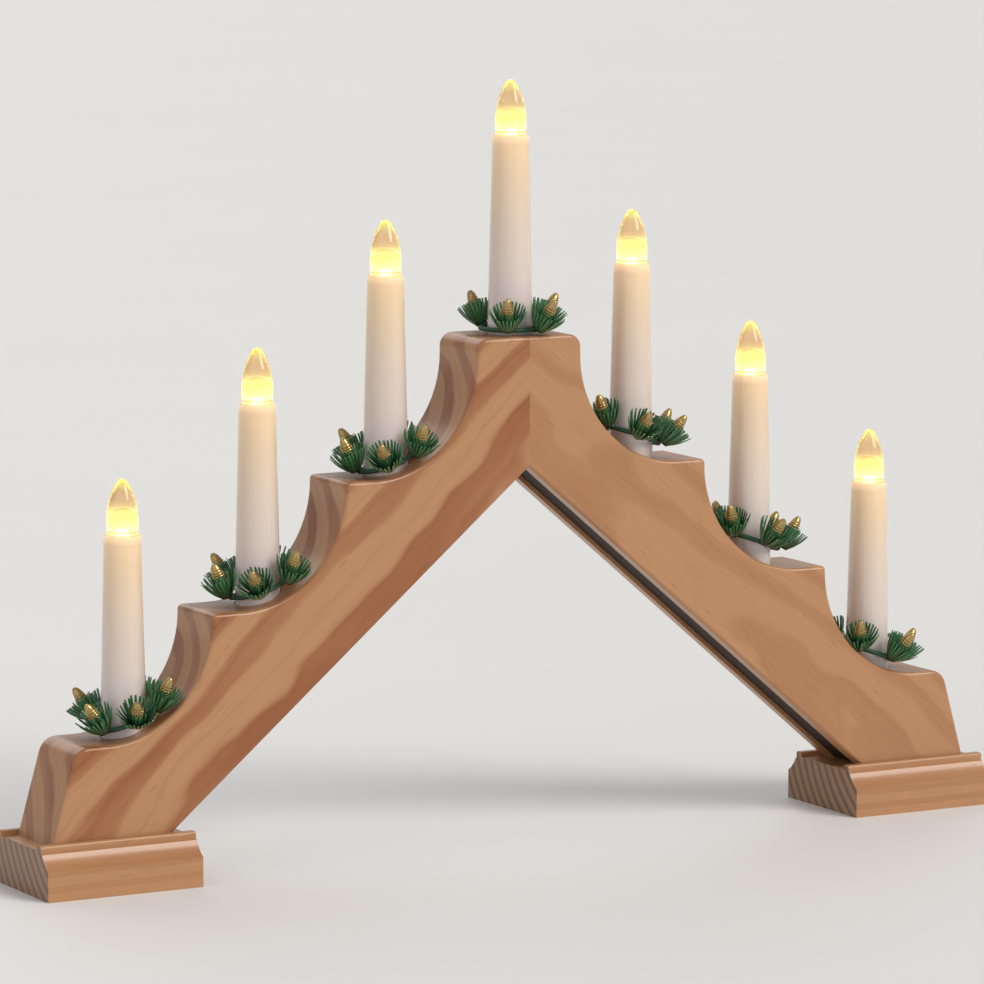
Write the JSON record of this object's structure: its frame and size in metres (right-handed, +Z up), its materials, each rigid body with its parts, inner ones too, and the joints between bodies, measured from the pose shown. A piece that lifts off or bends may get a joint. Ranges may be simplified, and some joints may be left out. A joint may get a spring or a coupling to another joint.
{
  "type": "candle arch",
  "caption": "Stepped pine candle arch on moulded feet, with tapered electric candles, flame-shaped push-in lamps and lift-off wreaths of fir sprigs and gilt cones.",
  "frame": {"origin": "middle of the footprint, on the table", "axes": "+X along the arch to the viewer's right, +Y towards the back, +Z up"},
  "size_m": [0.4, 0.0492, 0.2846],
  "materials": {
    "pine": "satin lacquered pine with broad orange grain",
    "foot_pine": "satin lacquered pine",
    "cover_board": "dark brown hardboard",
    "dowel_wood": "plain beech",
    "zinc_steel": "zinc plated",
    "cable_jacket": "matt flexible jacket",
    "brown_plastic": "matt dark brown",
    "socket_plastic": "matt white",
    "candle_plastic": "glossy translucent cream white",
    "flame_plastic": "clear glossy amber",
    "diode_resin": "clear resin, lit warm white",
    "lamp_base_plastic": "matt white",
    "ring_plastic": "matt dark green",
    "needle_plastic": "glossy dark green",
    "gilt_plastic": "metallised gold"
  },
  "bodies": {
    "arch": {"left_arm": "pine", "right_arm": "pine", "left_foot": "foot_pine", "right_foot": "foot_pine", "left_channel_cover": "cover_board", "right_channel_cover": "cover_board", "mitre_dowels": "dowel_wood", "foot_screws": "zinc_steel", "cable_harness": "cable_jacket", "cable_inlet": "brown_plastic", "lamp_sockets": "socket_plastic", "candle_tube_1": "candle_plastic", "candle_tube_2": "candle_plastic", "candle_tube_3": "candle_plastic", "candle_tube_4": "candle_plastic", "candle_tube_5": "candle_plastic", "candle_tube_6": "candle_plastic", "candle_tube_7": "candle_plastic"},
    "lamp_1": {"lamp_lens_1": "flame_plastic", "lamp_diode_1": "diode_resin", "lamp_base_1": "lamp_base_plastic"},
    "lamp_2": {"lamp_lens_2": "flame_plastic", "lamp_diode_2": "diode_resin", "lamp_base_2": "lamp_base_plastic"},
    "lamp_3": {"lamp_lens_3": "flame_plastic", "lamp_diode_3": "diode_resin", "lamp_base_3": "lamp_base_plastic"},
    "lamp_4": {"lamp_lens_4": "flame_plastic", "lamp_diode_4": "diode_resin", "lamp_base_4": "lamp_base_plastic"},
    "lamp_5": {"lamp_lens_5": "flame_plastic", "lamp_diode_5": "diode_resin", "lamp_base_5": "lamp_base_plastic"},
    "lamp_6": {"lamp_lens_6": "flame_plastic", "lamp_diode_6": "diode_resin", "lamp_base_6": "lamp_base_plastic"},
    "lamp_7": {"lamp_lens_7": "flame_plastic", "lamp_diode_7": "diode_resin", "lamp_base_7": "lamp_base_plastic"},
    "wreath_1": {"wreath_ring_1": "ring_plastic", "wreath_sprigs_1": "needle_plastic", "wreath_cones_1": "gilt_plastic"},
    "wreath_2": {"wreath_ring_2": "ring_plastic", "wreath_sprigs_2": "needle_plastic", "wreath_cones_2": "gilt_plastic"},
    "wreath_3": {"wreath_ring_3": "ring_plastic", "wreath_sprigs_3": "needle_plastic", "wreath_cones_3": "gilt_plastic"},
    "wreath_4": {"wreath_ring_4": "ring_plastic", "wreath_sprigs_4": "needle_plastic", "wreath_cones_4": "gilt_plastic"},
    "wreath_5": {"wreath_ring_5": "ring_plastic", "wreath_sprigs_5": "needle_plastic", "wreath_cones_5": "gilt_plastic"},
    "wreath_6": {"wreath_ring_6": "ring_plastic", "wreath_sprigs_6": "needle_plastic", "wreath_cones_6": "gilt_plastic"},
    "wreath_7": {"wreath_ring_7": "ring_plastic", "wreath_sprigs_7": "needle_plastic", "wreath_cones_7": "gilt_plastic"}
  },
  "joints": [
    {"name": "lamp_1_pull", "type": "slide", "parent": "arch", "child": "lamp_1", "axis": [0, 0, 1], "range_m": [0, 0.025]},
    {"name": "lamp_2_pull", "type": "slide", "parent": "arch", "child": "lamp_2", "axis": [0, 0, 1], "range_m": [0, 0.025]},
    {"name": "lamp_3_pull", "type": "slide", "parent": "arch", "child": "lamp_3", "axis": [0, 0, 1], "range_m": [0, 0.025]},
    {"name": "lamp_4_pull", "type": "slide", "parent": "arch", "child": "lamp_4", "axis": [0, 0, 1], "range_m": [0, 0.025]},
    {"name": "lamp_5_pull", "type": "slide", "parent": "arch", "child": "lamp_5", "axis": [0, 0, 1], "range_m": [0, 0.025]},
    {"name": "lamp_6_pull", "type": "slide", "parent": "arch", "child": "lamp_6", "axis": [0, 0, 1], "range_m": [0, 0.025]},
    {"name": "lamp_7_pull", "type": "slide", "parent": "arch", "child": "lamp_7", "axis": [0, 0, 1], "range_m": [0, 0.025]},
    {"name": "wreath_1_lift", "type": "slide", "parent": "arch", "child": "wreath_1", "axis": [0, 0, 1], "range_m": [0, 0.1]},
    {"name": "wreath_2_lift", "type": "slide", "parent": "arch", "child": "wreath_2", "axis": [0, 0, 1], "range_m": [0, 0.1]},
    {"name": "wreath_3_lift", "type": "slide", "parent": "arch", "child": "wreath_3", "axis": [0, 0, 1], "range_m": [0, 0.1]},
    {"name": "wreath_4_lift", "type": "slide", "parent": "arch", "child": "wreath_4", "axis": [0, 0, 1], "range_m": [0, 0.1]},
    {"name": "wreath_5_lift", "type": "slide", "parent": "arch", "child": "wreath_5", "axis": [0, 0, 1], "range_m": [0, 0.1]},
    {"name": "wreath_6_lift", "type": "slide", "parent": "arch", "child": "wreath_6", "axis": [0, 0, 1], "range_m": [0, 0.1]},
    {"name": "wreath_7_lift", "type": "slide", "parent": "arch", "child": "wreath_7", "axis": [0, 0, 1], "range_m": [0, 0.1]}
  ]
}
